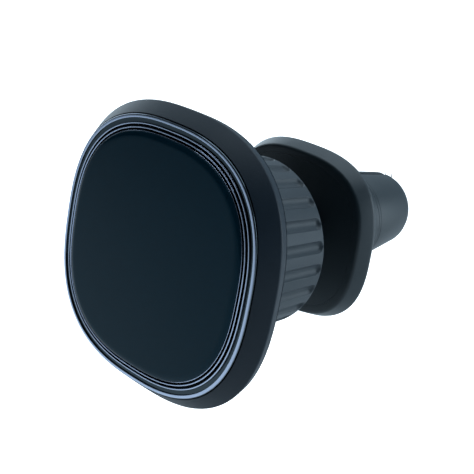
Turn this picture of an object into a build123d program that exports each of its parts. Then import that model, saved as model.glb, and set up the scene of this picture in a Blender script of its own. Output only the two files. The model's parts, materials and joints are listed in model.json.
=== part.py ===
"""Magnetic phone mount with a ball joint and a two-jaw clip for an air vent.

Millimetres. X runs to the right of someone facing the panel, +Y from the panel
to the vent and +Z up. The origin is the middle of the clip's mouth, between the
jaw tips. Pieces of the head are measured along the head's own axis from the
ball's centre, towards the user. Pieces of the clip are measured from the ball's
centre, towards the vent.
"""

import os
from math import cos, radians, sin, sqrt, tan

from build123d import *

# ---- overall -------------------------------------------------------------------
JAW_TIP = 48.4  # ball centre to the tips of the jaws
HEAD_TILT = 4.0  # degrees the panel looks up at rest
RUNNING = 0.08  # radial clearance of a turning fit
BODY_GAP = 0.1  # gap between faces that slide on each other
SLIP = 0.05  # gap between pieces that are pushed together

# ---- outlines --------------------------------------------------------------------
HEAD_POWER = 2.57  # superellipse power of the head
PAD_POWER = 2.76  # superellipse power of the vent pad
PAD_ASPECT = 0.96  # height over width of the vent pad
OUTLINE_POINTS = 48

# ---- head, heights from the outside of the back cover towards the user ----------------
COVER_SINK = 0.3  # back of the cover below the top of the ball
HEAD_HALF = 24.95  # half-width at the widest line
HEAD_WALL = 1.6
COVER_FLOOR = 2.2  # thickness of the back cover's floor
COVER_SLOPE = 0.8  # inward per millimetre back, at the seam
COVER_INSET = 7.35  # from the widest line to the flat at the back
FLOOR_INSET = 3.6  # from the cavity's top edge to its floor
SEAM_RISE = 5.3  # where cover and bezel meet
SEAM_INSET = 0.55
WIDEST_RISE = 7.0
WEB_RISE = 7.05  # underside of the bezel's web
WEB_THICK = 1.0
SLOPE_RISE = 9.0  # inner edge of the bezel's slope
PANEL_RISE = 10.01
PANEL_EDGE = 0.3
TAPE_THICK = 0.25
LIP_HEIGHT = 0.8
LIP_THICK = 0.7

# ---- trim ring ----------------------------------------------------------------------
RING_INSET = 2.15  # from the widest line to the ring
RING_WIDTH = 2.85
BEAD_WIDTH = 0.62
BEAD_HEIGHT = 0.46  # over the bezel's inner edge
STEP_WIDTH = 0.72
RING_TIERS = 2
CREST_HEIGHT = 0.3  # over the bezel's inner edge
TIER_RISE = 0.23

# ---- magnets and their plates --------------------------------------------------------
MAGNET_R = 4.0
MAGNET_THICK = 1.9
MAGNET_INSET = 5.6  # from the yoke plate's rim to the magnets' circle
MAGNETS = 6
YOKE_INSET = 4.6  # from the cavity's wall to the yoke plate
YOKE_THICK = 0.8
CARRIER_PLAY = 0.5  # from the carrier to the cover's lip
RIB_PLAY = 0.15  # from the yoke plate to the rib round it
RIB_THICK = 0.95

# ---- screws -----------------------------------------------------------------------------
SCREW_INSET = 10.35  # head screws, from the widest line each way
BOSS_R = 2.9
PILLAR_R = 2.2
PILLAR_PLAY = 0.2
SCREW_R = 1.0
SCREW_HEAD_R = 1.8
HEAD_PLAY = 0.2  # from a screw's head to its recess
HOLE_SPARE = 0.2  # hole left past a head screw's end
THREAD_PLAY = 0.02  # from a thread's radius to its hole
CROSS_SPAN = 1.2  # drive slot's length over the screw head's radius
CROSS_WIDTH = 0.45
CROSS_DEPTH = 0.6  # drive slot's depth over the head's height
LIP_ROOT = 1.2  # part of the seam's lip behind the seam
LIP_ROOT_THICK = 1.4
TAPE_INSET = 0.6  # from the panel's edge to the tape's
SCREW_HEAD = 1.1
SCREW_HOLE = 0.15  # radial clearance of a screw hole
SEAT_RISE = 3.1  # under the heads of the head screws
BOSS_RISE = 4.2
SCREW_RISE = 6.5
SOCKET_SCREWS = 4
SOCKET_SCREW_R = 0.8
SOCKET_HEAD_R = 1.45
SOCKET_HEAD = 0.6
SOCKET_SCREW_RISE = 0.7

# ---- ball joint ----------------------------------------------------------------------------
BALL_R = 8.5
NECK_R = 4.2
NECK_ROOT = 1.0  # fillet where the neck meets the clip
LINER_THICK = 1.0
LINER_EDGE = 4.4
LINER_HOLE_R = 1.2
GUIDE_WALL = 1.3  # round the hole over the liner
SOCKET_END = 0.5
SOCKET_WALL = 2.75
FLANGE_WIDTH = 3.7
FLANGE_THICK = 1.2
RING_FRONT = 0.2
RING_REAR = -4.2
RING_PLAY = 0.6  # from the seat ring to the boss's outside
RING_SLIT = 1.0
WASHER_THICK = 0.55
WASHER_PLAY = 0.4  # from the ball's radius to the washer's bore

# ---- locking collar ---------------------------------------------------------------------------
COLLAR_PLAY = 0.2  # from the collar to the back cover
COLLAR_LENGTH = 17.2
COLLAR_WALL = 2.85  # at the rear rim
COLLAR_DRAFT = 2.5  # degrees, wider towards the head
MOUTH_WIDTH = 2.7  # from the washer's bore to the mouth's rim
FLUTES = 24
FLUTE_WIDTH = 2.2
FLUTE_DEPTH = 0.55
FLUTE_STOP = 0.15  # from the rear rim to the closed end of a flute
COLLAR_RIM = 0.3  # bevel of the rear rim

# ---- clip, distances from the ball's centre towards the vent -------------------------------------
PLATE_FRONT = 17.9
PLATE_THICK = 2.5
PLATE_HALF = 14.5
PAD_FRONT_HALF = 15.95
PAD_BACK = 21.6
PAD_BACK_HALF = 17.25
PAD_ROUND = 0.8
STUB_START = 34.5
STUB_R = 8.95
TRUMPET_STEPS = 7
TRUMPET_CURVE = 2.6
PAD_SKIN = 1.0
THREAD_R = 2.5
THREAD_END = 23.3
INSERT_R = 3.6
INSERT_START = 18.6
INSERT_END = 23.5
POCKET_START = 24.2
POCKET_PLAY = 0.7  # beside the jaw roots
POCKET_HALF_HEIGHT = 3.4

# ---- jaws ----------------------------------------------------------------------------------------
JAW_GAP = 0.55  # gap between the pad and the jaws
JAW_DRAFT = 1.5  # how much thinner the jaws are where the tip starts to round
TIP_DEPTH = 2.3
TIP_INSET = 1.9
SLIT = 1.2
SKIN_THICK = 1.2
GRIP_START = 0.3  # from the jaws' front to the grip pad
GRIP_SPARE = 0.1  # from the grip pad to the skin at the tip
GRIP_THICK = 1.2
GRIP_GROOVE = 0.35
GRIP_GROOVES = 7
PIN_INSET = 1.4  # from the jaw root's outside to the pin
PIN_Y = 30.0
PIN_R = 0.9
PIN_BORE = 0.06
PIN_HOLE = 0.02
PIN_SINK = 0.04  # ends of the pins below the core's surface
ROOT_INSET = 3.0  # from the waist's radius to the jaw root's outside
ROOT_INNER_X = 1.9
TAIL_INNER_X = 3.0
TAIL_END = 24.8
TAIL_SHOULDER = 29.0
ROOT_HALF_HEIGHT = 3.2
SPRING_Y = 26.3
SPRING_R = 1.35
SPRING_WIRE_R = 0.3
SPRING_TURNS = 5

# ---- worked out from the above -------------------------------------------------------------------
BALL_Y = -JAW_TIP
BALL = Vector(0, BALL_Y, 0)
TILT = radians(HEAD_TILT)
HEAD = Plane(origin=BALL, x_dir=(1, 0, 0), z_dir=(0, -cos(TILT), sin(TILT)))
HEAD_SECTION = Plane(origin=BALL, x_dir=HEAD.x_dir, z_dir=-HEAD.y_dir)
HEAD_AXIS = Axis(BALL, HEAD.z_dir)
CLIP = Plane(origin=BALL, x_dir=(-1, 0, 0), z_dir=(0, 1, 0))
CLIP_SECTION = Plane(origin=BALL, x_dir=(1, 0, 0), z_dir=(0, 0, 1))
CLIP_AXIS = Axis(BALL, (0, 1, 0))

COVER_BACK = BALL_R - COVER_SINK
COVER_INSIDE = COVER_BACK + COVER_FLOOR
COVER_BACK_HALF = HEAD_HALF - COVER_INSET
SEAM = COVER_BACK + SEAM_RISE
WIDEST = COVER_BACK + WIDEST_RISE
WEB = COVER_BACK + WEB_RISE
WEB_TOP = WEB + WEB_THICK
SLOPE_TOP = COVER_BACK + SLOPE_RISE
PANEL_TOP = COVER_BACK + PANEL_RISE
BEAD_TOP = SLOPE_TOP + BEAD_HEIGHT
LIP_TOP = SLOPE_TOP + CREST_HEIGHT
RING_HALF = HEAD_HALF - RING_INSET
PANEL_HALF = RING_HALF - RING_WIDTH
CAVITY_HALF = HEAD_HALF - SEAM_INSET - HEAD_WALL
CARRIER_HALF = CAVITY_HALF - LIP_THICK - CARRIER_PLAY
YOKE_R = CAVITY_HALF - YOKE_INSET
MAGNET_CIRCLE = YOKE_R - MAGNET_INSET
RIB_R = YOKE_R + RIB_PLAY
SLOPE_HALF = RING_HALF + SLIP
MAGNET_BASE = WEB - SLIP - MAGNET_THICK
YOKE_BASE = MAGNET_BASE - YOKE_THICK
CORNER = HEAD_HALF - SCREW_INSET
SCREW_SEAT = COVER_BACK + SEAT_RISE
BOSS_TOP = COVER_BACK + BOSS_RISE
SCREW_END = COVER_BACK + SCREW_RISE
LINER_R = BALL_R + BODY_GAP + LINER_THICK
SOCKET_R = LINER_R + 1.5 * BODY_GAP
SEAT_R = BALL_R + BODY_GAP
SEAT_WIDTH = 2.5  # of the sloped seat under the boss
BOSS_OUTER_R = SOCKET_R + SOCKET_WALL
FLANGE_R = BOSS_OUTER_R + FLANGE_WIDTH
FLANGE_TOP = COVER_INSIDE + FLANGE_THICK
SOCKET_SCREW_CIRCLE = BOSS_OUTER_R + FLANGE_WIDTH / 2
SOCKET_SCREW_END = COVER_BACK + SOCKET_SCREW_RISE
RING_R = BOSS_OUTER_R - RING_PLAY
WASHER_BORE = BALL_R + WASHER_PLAY
WASHER_FRONT = RING_REAR - BODY_GAP
SHOULDER = WASHER_FRONT - WASHER_THICK - BODY_GAP
COLLAR_BORE_R = BOSS_OUTER_R + RUNNING
COLLAR_REAR_R = COLLAR_BORE_R + COLLAR_WALL
COLLAR_MOUTH_R = WASHER_BORE + MOUTH_WIDTH
COLLAR_FRONT = COVER_BACK - COLLAR_PLAY
COLLAR_REAR = COLLAR_FRONT - COLLAR_LENGTH
JAW_FRONT = STUB_START + JAW_GAP
JAW_DRAFT_R = STUB_R - JAW_DRAFT
JAW_DRAFT_END = JAW_TIP - TIP_DEPTH
JAW_TIP_R = JAW_DRAFT_R - TIP_INSET
ROOT_OUTER_X = STUB_R - ROOT_INSET
POCKET_HALF_WIDTH = ROOT_OUTER_X + POCKET_PLAY
PIN_X = ROOT_OUTER_X - PIN_INSET
CORE_END_R = STUB_R - PAD_SKIN
CORE_INSET = 2.5  # from the plate's edge to the core's front


def squircle(plane, half, power=HEAD_POWER, aspect=1.0):
    """A superellipse face on a plane."""
    points = []
    for i in range(OUTLINE_POINTS):
        angle = radians(360 * i / OUTLINE_POINTS)
        x, y = cos(angle), sin(angle)
        reach = half / (abs(x) ** power + abs(y) ** power) ** (1 / power)
        points.append((reach * x, aspect * reach * y))
    with BuildSketch(plane) as outline:
        with BuildLine():
            Spline(*points, periodic=True)
        make_face()
    return outline.sketch


def profile(plane, *points):
    """A closed polygon face on a plane."""
    with BuildSketch(plane) as outline:
        with BuildLine():
            Polyline(*points, close=True)
        make_face()
    return outline.sketch


def head_slab(half, low, high, mode=Mode.ADD):
    """A slab of the head's outline between two heights."""
    extrude(squircle(HEAD.offset(low), half), amount=high - low, mode=mode)


def head_loft(sections, mode=Mode.ADD):
    """The head's outline through (height, half-width) sections."""
    faces = [squircle(HEAD.offset(height), half).face() for height, half in sections]
    loft(faces, ruled=True, mode=mode)


def finish(builder, name):
    """Label a piece and write it."""
    builder.part.label = name
    export_step(builder.part, f"parts/{name}.step")
    print(f"{name:18s} {builder.part.volume:9.1f} mm3")


# ---- front of the head ---------------------------------------------------------------------------


def make_face_panel():
    base = WEB_TOP + TAPE_THICK
    with BuildPart(HEAD) as face_panel:
        head_slab(PANEL_HALF, base, PANEL_TOP - PANEL_EDGE)
        edge = [(PANEL_TOP - PANEL_EDGE, PANEL_HALF)]
        edge.append((PANEL_TOP - 0.3 * PANEL_EDGE, PANEL_HALF - 0.3 * PANEL_EDGE))
        edge.append((PANEL_TOP, PANEL_HALF - PANEL_EDGE))
        head_loft(edge)
    finish(face_panel, "face_panel")


def make_panel_tape():
    with BuildPart(HEAD) as panel_tape:
        head_slab(PANEL_HALF - TAPE_INSET, WEB_TOP, WEB_TOP + TAPE_THICK)
    finish(panel_tape, "panel_tape")


def make_trim_ring():
    """A polished bead, a shallow band, a lip and steps up to the panel."""
    bore = PANEL_HALF + 2 * SLIP
    lip_half = RING_HALF - BEAD_WIDTH - STEP_WIDTH
    bead_round = 0.3 * BEAD_WIDTH
    with BuildPart(HEAD) as trim_ring:
        head_slab(RING_HALF, WEB_TOP, BEAD_TOP - bead_round)
        head_loft([(BEAD_TOP - bead_round, RING_HALF), (BEAD_TOP, RING_HALF - bead_round)])
        head_slab(RING_HALF - BEAD_WIDTH, SLOPE_TOP, BEAD_TOP, mode=Mode.SUBTRACT)
        for tier in range(RING_TIERS + 1):
            half = lip_half - tier * 0.8 * STEP_WIDTH
            head_slab(half, WEB_TOP, LIP_TOP + tier * TIER_RISE)
        head_slab(bore, WEB_TOP, PANEL_TOP, mode=Mode.SUBTRACT)
    finish(trim_ring, "trim_ring")


def make_head_bezel():
    """The front shell: a sloped frame, a web that carries the panel and four screw pillars."""
    with BuildPart(HEAD) as head_bezel:
        head_loft(
            [
                (SEAM, HEAD_HALF - SEAM_INSET),
                (WIDEST, HEAD_HALF),
                (WIDEST + 0.5, HEAD_HALF - 0.25),
                (SLOPE_TOP, SLOPE_HALF + 0.25),
            ]
        )
        head_slab(SLOPE_HALF, WEB_TOP, SLOPE_TOP, mode=Mode.SUBTRACT)
        head_slab(CAVITY_HALF, SEAM, WEB, mode=Mode.SUBTRACT)
        with BuildSketch(HEAD.offset(BOSS_TOP + SLIP)):
            with GridLocations(2 * CORNER, 2 * CORNER, 2, 2):
                Circle(PILLAR_R)
        extrude(amount=WEB - BOSS_TOP - SLIP)
        with BuildSketch(HEAD.offset(BOSS_TOP + SLIP)):
            with GridLocations(2 * CORNER, 2 * CORNER, 2, 2):
                Circle(SCREW_R + THREAD_PLAY)
        extrude(amount=SCREW_END + HOLE_SPARE - BOSS_TOP - SLIP, mode=Mode.SUBTRACT)
    finish(head_bezel, "head_bezel")


# ---- inside the head -----------------------------------------------------------------------------


def make_magnet_carrier():
    """A plate with round pockets for the magnets and holes round the screw pillars."""
    with BuildPart(HEAD) as magnet_carrier:
        head_slab(CARRIER_HALF, MAGNET_BASE, WEB - SLIP)
        with BuildSketch(HEAD.offset(MAGNET_BASE)):
            with PolarLocations(MAGNET_CIRCLE, MAGNETS):
                Circle(MAGNET_R + SLIP)
            with GridLocations(2 * CORNER, 2 * CORNER, 2, 2):
                Circle(PILLAR_R + PILLAR_PLAY)
        extrude(amount=MAGNET_THICK, mode=Mode.SUBTRACT)
    finish(magnet_carrier, "magnet_carrier")


def make_magnets():
    with BuildPart(HEAD) as magnets:
        with BuildSketch(HEAD.offset(MAGNET_BASE)):
            with PolarLocations(MAGNET_CIRCLE, MAGNETS):
                Circle(MAGNET_R)
        extrude(amount=MAGNET_THICK)
    finish(magnets, "magnets")


def make_yoke_plate():
    """The round steel sheet that closes the magnets' field at the back."""
    with BuildPart(HEAD) as yoke_plate:
        with BuildSketch(HEAD.offset(YOKE_BASE)):
            Circle(YOKE_R)
            Circle(LINER_HOLE_R + GUIDE_WALL, mode=Mode.SUBTRACT)
            with GridLocations(2 * CORNER, 2 * CORNER, 2, 2):
                Circle(PILLAR_R + PILLAR_PLAY, mode=Mode.SUBTRACT)
        extrude(amount=YOKE_THICK)
    finish(yoke_plate, "yoke_plate")


def make_back_cover():
    """The domed shell behind the head, with the socket's hole and four screw bosses."""
    depth = SEAM - COVER_BACK
    seam_half = HEAD_HALF - SEAM_INSET
    curve = (seam_half - COVER_SLOPE * depth - COVER_BACK_HALF) / depth**2
    steps = 5
    dome = []
    for i in range(steps + 1):
        back = depth * (1 - i / steps)
        dome.append((SEAM - back, seam_half - COVER_SLOPE * back - curve * back**2))
    with BuildPart(HEAD) as back_cover:
        head_loft(dome)
        head_loft(
            [(COVER_INSIDE, CAVITY_HALF - FLOOR_INSET), (SEAM, CAVITY_HALF)], mode=Mode.SUBTRACT
        )
        with BuildSketch(HEAD.offset(COVER_INSIDE)):
            with GridLocations(2 * CORNER, 2 * CORNER, 2, 2):
                Circle(BOSS_R)
        extrude(amount=BOSS_TOP - COVER_INSIDE)
        head_loft(dome, mode=Mode.INTERSECT)
        head_slab(CAVITY_HALF - SLIP, SEAM - LIP_ROOT, SEAM + LIP_HEIGHT)
        head_loft(
            [(SEAM - LIP_ROOT, CAVITY_HALF - LIP_ROOT_THICK), (SEAM + LIP_HEIGHT, CAVITY_HALF - LIP_THICK)],
            mode=Mode.SUBTRACT,
        )
        with BuildSketch(HEAD.offset(COVER_INSIDE)):
            Circle(RIB_R + RIB_THICK)
            Circle(RIB_R, mode=Mode.SUBTRACT)
        extrude(amount=YOKE_BASE + YOKE_THICK - SLIP - COVER_INSIDE)
        with BuildSketch(HEAD.offset(BOSS_TOP)):
            with GridLocations(2 * CORNER, 2 * CORNER, 2, 2):
                Circle(PILLAR_R + PILLAR_PLAY)
        extrude(amount=SEAM + LIP_HEIGHT - BOSS_TOP, mode=Mode.SUBTRACT)
        with BuildSketch(HEAD.offset(COVER_BACK - 1)):
            with GridLocations(2 * CORNER, 2 * CORNER, 2, 2):
                Circle(SCREW_HEAD_R + HEAD_PLAY)
        extrude(amount=SCREW_SEAT - COVER_BACK + 1, mode=Mode.SUBTRACT)
        with BuildSketch(HEAD.offset(SCREW_SEAT)):
            with GridLocations(2 * CORNER, 2 * CORNER, 2, 2):
                Circle(SCREW_R + SCREW_HOLE)
        extrude(amount=2 * BOSS_R, mode=Mode.SUBTRACT)
        with BuildSketch(HEAD.offset(COVER_BACK)):
            Circle(BOSS_OUTER_R + 2 * SLIP)
            with PolarLocations(SOCKET_SCREW_CIRCLE, SOCKET_SCREWS, start_angle=45):
                Circle(SOCKET_SCREW_R + THREAD_PLAY)
        extrude(amount=COVER_FLOOR, mode=Mode.SUBTRACT)
    finish(back_cover, "back_cover")


def make_head_screws():
    """Four countersunk-in-the-dome screws that pull the cover to the bezel."""
    with BuildPart(HEAD) as head_screws:
        with BuildSketch(HEAD.offset(SCREW_SEAT - SCREW_HEAD)):
            with GridLocations(2 * CORNER, 2 * CORNER, 2, 2):
                Circle(SCREW_HEAD_R)
        extrude(amount=SCREW_HEAD)
        with BuildSketch(HEAD.offset(SCREW_SEAT)):
            with GridLocations(2 * CORNER, 2 * CORNER, 2, 2):
                Circle(SCREW_R)
        extrude(amount=SCREW_END - SCREW_SEAT)
        with BuildSketch(HEAD.offset(SCREW_SEAT - SCREW_HEAD)):
            with GridLocations(2 * CORNER, 2 * CORNER, 2, 2):
                Rectangle(CROSS_SPAN * SCREW_HEAD_R, CROSS_WIDTH)
                Rectangle(CROSS_WIDTH, CROSS_SPAN * SCREW_HEAD_R)
        extrude(amount=CROSS_DEPTH * SCREW_HEAD, mode=Mode.SUBTRACT)
    finish(head_screws, "head_screws")


# ---- ball joint ----------------------------------------------------------------------------------


def make_socket_boss():
    """The flanged, threaded cup that goes through the back cover and holds the ball."""
    with BuildPart(HEAD) as socket_boss:
        revolve(
            profile(
                HEAD_SECTION,
                (0, SOCKET_END),
                (BOSS_OUTER_R, SOCKET_END),
                (BOSS_OUTER_R, COVER_INSIDE),
                (FLANGE_R, COVER_INSIDE),
                (FLANGE_R, FLANGE_TOP),
                (0, FLANGE_TOP),
            ),
            axis=HEAD_AXIS,
        )
        Sphere(SOCKET_R, mode=Mode.SUBTRACT)
        with BuildSketch(HEAD.offset(COVER_INSIDE)):
            with PolarLocations(SOCKET_SCREW_CIRCLE, SOCKET_SCREWS, start_angle=45):
                Circle(SOCKET_SCREW_R + SCREW_HOLE)
            with GridLocations(2 * CORNER, 2 * CORNER, 2, 2):
                Circle(BOSS_R + PILLAR_PLAY)
        extrude(amount=FLANGE_THICK, mode=Mode.SUBTRACT)
    finish(socket_boss, "socket_boss")


def make_socket_screws():
    with BuildPart(HEAD) as socket_screws:
        with BuildSketch(HEAD.offset(SOCKET_SCREW_END)):
            with PolarLocations(SOCKET_SCREW_CIRCLE, SOCKET_SCREWS, start_angle=45):
                Circle(SOCKET_SCREW_R)
        extrude(amount=FLANGE_TOP - SOCKET_SCREW_END)
        with BuildSketch(HEAD.offset(FLANGE_TOP)):
            with PolarLocations(SOCKET_SCREW_CIRCLE, SOCKET_SCREWS, start_angle=45):
                Circle(SOCKET_HEAD_R)
        extrude(amount=SOCKET_HEAD)
    finish(socket_screws, "socket_screws")


def make_ball_liner():
    """The grippy cup between the ball and the socket."""
    with BuildPart(HEAD) as ball_liner:
        Sphere(LINER_R)
        Sphere(LINER_R - LINER_THICK, mode=Mode.SUBTRACT)
        split(bisect_by=HEAD.offset(LINER_EDGE), keep=Keep.TOP)
        with BuildSketch(HEAD.offset(LINER_EDGE)):
            Circle(LINER_HOLE_R)
        extrude(amount=LINER_R, mode=Mode.SUBTRACT)
    finish(ball_liner, "ball_liner")


def make_seat_ring():
    """The split ring that the collar squeezes against the back of the ball."""
    inside = SEAT_R - SEAT_WIDTH
    with BuildPart(HEAD) as seat_ring:
        revolve(
            profile(
                HEAD_SECTION,
                (inside, RING_REAR),
                (RING_R, RING_REAR),
                (RING_R, RING_FRONT),
                (inside, RING_FRONT),
            ),
            axis=HEAD_AXIS,
        )
        Sphere(SEAT_R, mode=Mode.SUBTRACT)
        with BuildSketch(HEAD.offset(RING_REAR)):
            with Locations((0, -RING_R)):
                Rectangle(RING_SLIT, RING_R)
        extrude(amount=RING_FRONT - RING_REAR, mode=Mode.SUBTRACT)
    finish(seat_ring, "seat_ring")


def make_collar_washer():
    with BuildPart(HEAD) as collar_washer:
        with BuildSketch(HEAD.offset(WASHER_FRONT - WASHER_THICK)):
            Circle(RING_R)
            Circle(WASHER_BORE, mode=Mode.SUBTRACT)
        extrude(amount=WASHER_THICK)
    finish(collar_washer, "collar_washer")


def make_flute_cutter():
    """A rod with a round end, laid along the collar's drafted side."""
    rod_r = (FLUTE_WIDTH**2 / 4 + FLUTE_DEPTH**2) / (2 * FLUTE_DEPTH)
    draft = radians(COLLAR_DRAFT)
    stop = COLLAR_REAR + FLUTE_STOP + rod_r
    side_r = COLLAR_REAR_R + (stop - COLLAR_REAR) * tan(draft)
    start = Plane(
        origin=(side_r - FLUTE_DEPTH + rod_r, 0, stop),
        x_dir=(cos(draft), 0, -sin(draft)),
        z_dir=(sin(draft), 0, cos(draft)),
    )
    with BuildPart(start) as cutter:
        Sphere(rod_r)
        with BuildSketch(start):
            Circle(rod_r)
        extrude(amount=COLLAR_FRONT - COLLAR_REAR)
    return cutter.part


def make_lock_collar():
    """The fluted nut that tightens the ball joint."""
    front_r = COLLAR_REAR_R + (COLLAR_FRONT - COLLAR_REAR) * tan(radians(COLLAR_DRAFT))
    flute = make_flute_cutter()
    with BuildPart(HEAD) as lock_collar:
        revolve(
            profile(
                HEAD_SECTION,
                (COLLAR_BORE_R, COLLAR_FRONT),
                (front_r, COLLAR_FRONT),
                (COLLAR_REAR_R + COLLAR_RIM * tan(radians(COLLAR_DRAFT)), COLLAR_REAR + COLLAR_RIM),
                (COLLAR_REAR_R - COLLAR_RIM, COLLAR_REAR),
                (COLLAR_MOUTH_R, COLLAR_REAR),
                (WASHER_BORE, SHOULDER),
                (COLLAR_BORE_R, SHOULDER),
            ),
            axis=HEAD_AXIS,
        )
        with PolarLocations(0, FLUTES):
            add(flute, mode=Mode.SUBTRACT)
    finish(lock_collar, "lock_collar")


def make_ball_stud():
    """Ball, neck and threaded tail in one piece."""
    with BuildPart(CLIP) as ball_stud:
        Sphere(BALL_R)
        revolve(
            profile(
                CLIP_SECTION,
                (0, 0),
                (NECK_R, 0),
                (NECK_R, PLATE_FRONT - NECK_ROOT),
                (NECK_R + 0.3 * NECK_ROOT, PLATE_FRONT - 0.3 * NECK_ROOT),
                (NECK_R + NECK_ROOT, PLATE_FRONT),
                (THREAD_R, PLATE_FRONT),
                (THREAD_R, THREAD_END),
                (0, THREAD_END),
            ),
            axis=CLIP_AXIS,
        )
    finish(ball_stud, "ball_stud")


def make_stud_insert():
    """The brass insert moulded into the clip for the stud's thread."""
    with BuildPart(CLIP) as stud_insert:
        with BuildSketch(CLIP.offset(INSERT_START)):
            Circle(INSERT_R)
            Circle(THREAD_R + THREAD_PLAY, mode=Mode.SUBTRACT)
        extrude(amount=INSERT_END - INSERT_START)
    finish(stud_insert, "stud_insert")


# ---- clip ----------------------------------------------------------------------------------------


def trumpet(place):
    """Half-width, power and aspect of the pad's waist, from its back (0) to the stub (1)."""
    wide = (1 - place) ** TRUMPET_CURVE
    half = STUB_R + (PAD_BACK_HALF - 0.5 - STUB_R) * wide
    power = 2 + (PAD_POWER - 2) * wide
    aspect = 1 + (PAD_ASPECT - 1) * wide
    return half, power, aspect


def core_radius(along):
    """Radius of the round core at a distance from the ball's centre."""
    plate_back = PLATE_FRONT + PLATE_THICK
    place = (along - plate_back) / (STUB_START - plate_back)
    return CORE_END_R + (PLATE_HALF - CORE_INSET - CORE_END_R) * (1 - place) ** TRUMPET_CURVE


def make_core_blank():
    """The clip's rigid core before anything is cut from it."""
    plate_back = PLATE_FRONT + PLATE_THICK
    with BuildPart(CLIP) as core:
        face = squircle(CLIP.offset(PLATE_FRONT), PLATE_HALF, PAD_POWER, PAD_ASPECT)
        extrude(face, amount=PLATE_THICK)
        sections = []
        for i in range(TRUMPET_STEPS + 1):
            along = plate_back + (STUB_START - plate_back) * i / TRUMPET_STEPS
            sections.append((core_radius(along), along))
        revolve(profile(CLIP_SECTION, (0, plate_back), *sections, (0, STUB_START)), axis=CLIP_AXIS)
    return core.part


def make_clip_base(core):
    """The core with its insert, a pocket for the jaw roots and two pin holes."""
    with BuildPart() as clip_base:
        add(core)
        with BuildSketch(CLIP.offset(PLATE_FRONT)):
            Circle(THREAD_R + THREAD_PLAY)
        extrude(amount=POCKET_START - PLATE_FRONT, mode=Mode.SUBTRACT)
        with BuildSketch(CLIP.offset(INSERT_START)):
            Circle(INSERT_R)
        extrude(amount=INSERT_END - INSERT_START, mode=Mode.SUBTRACT)
        with BuildSketch(CLIP.offset(POCKET_START)):
            Rectangle(2 * POCKET_HALF_WIDTH, 2 * POCKET_HALF_HEIGHT)
        extrude(amount=STUB_START - POCKET_START, mode=Mode.SUBTRACT)
        with BuildSketch(CLIP_SECTION):
            with Locations((-PIN_X, PIN_Y), (PIN_X, PIN_Y)):
                Circle(PIN_R + PIN_HOLE)
        extrude(amount=2 * STUB_R, both=True, mode=Mode.SUBTRACT)
    finish(clip_base, "clip_base")


def make_vent_pad(core):
    """The soft cover: side wall, back face against the vent and trumpet-shaped waist."""
    outline = [
        (PLATE_FRONT, PAD_FRONT_HALF - PAD_ROUND, PAD_POWER, PAD_ASPECT),
        (PLATE_FRONT + 0.3 * PAD_ROUND, PAD_FRONT_HALF - 0.3 * PAD_ROUND, PAD_POWER, PAD_ASPECT),
        (PLATE_FRONT + PAD_ROUND, PAD_FRONT_HALF, PAD_POWER, PAD_ASPECT),
        (PAD_BACK - 0.5, PAD_BACK_HALF, PAD_POWER, PAD_ASPECT),
    ]
    for i in range(TRUMPET_STEPS + 1):
        place = i / TRUMPET_STEPS
        outline.append((PAD_BACK + (STUB_START - PAD_BACK) * place, *trumpet(place)))
    faces = [squircle(CLIP.offset(along), *shape).face() for along, *shape in outline]
    with BuildPart() as vent_pad:
        loft(faces, ruled=True)
        add(core, mode=Mode.SUBTRACT)
    finish(vent_pad, "vent_pad")


def jaw_round(inset):
    """The jaws' common round body, as a face to revolve, with a skin's inset."""
    front_r = STUB_R - inset
    end = JAW_TIP - inset
    draft_end = JAW_DRAFT_END - 0.6 * inset
    return profile(
        CLIP_SECTION,
        (0, JAW_FRONT),
        (front_r, JAW_FRONT),
        (JAW_DRAFT_R - inset, draft_end),
        (0.5 * (JAW_DRAFT_R + JAW_TIP_R) + 0.15 - inset, 0.5 * (draft_end + end) + 0.15),
        (JAW_TIP_R - inset, end),
        (0, end),
    )


def side_box(side, near, far, low, high, half_height, mode):
    """A block on one side of the slit, seen from above."""
    block = profile(
        CLIP_SECTION, (side * near, low), (side * far, low), (side * far, high), (side * near, high)
    )
    extrude(block, amount=half_height, both=True, mode=mode)


def make_jaw_skin(side, name):
    """The soft outer skin of one jaw."""
    with BuildPart() as skin:
        revolve(jaw_round(0), axis=CLIP_AXIS)
        revolve(jaw_round(SKIN_THICK), axis=CLIP_AXIS, mode=Mode.SUBTRACT)
        side_box(side, SLIT / 2, 2 * STUB_R, PLATE_FRONT, JAW_TIP, STUB_R, Mode.INTERSECT)
    finish(skin, name)


def make_jaw(side, name):
    """The stiff core of one jaw: half-round nose, root in the pocket, pin bore and spring tail."""
    inner = SLIT / 2 + GRIP_THICK
    with BuildPart() as jaw:
        revolve(jaw_round(SKIN_THICK), axis=CLIP_AXIS)
        side_box(side, inner, 2 * STUB_R, PLATE_FRONT, JAW_TIP, STUB_R, Mode.INTERSECT)
        plan = profile(
            CLIP_SECTION,
            (side * ROOT_INNER_X, JAW_FRONT),
            (side * ROOT_INNER_X, TAIL_SHOULDER),
            (side * TAIL_INNER_X, TAIL_SHOULDER - 1),
            (side * TAIL_INNER_X, TAIL_END),
            (side * ROOT_OUTER_X, TAIL_END),
            (side * ROOT_OUTER_X, JAW_FRONT),
        )
        extrude(plan, amount=ROOT_HALF_HEIGHT, both=True)
        with BuildSketch(CLIP_SECTION):
            with Locations((side * PIN_X, PIN_Y)):
                Circle(PIN_R + PIN_BORE)
        extrude(amount=2 * ROOT_HALF_HEIGHT, both=True, mode=Mode.SUBTRACT)
    finish(jaw, name)


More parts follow.
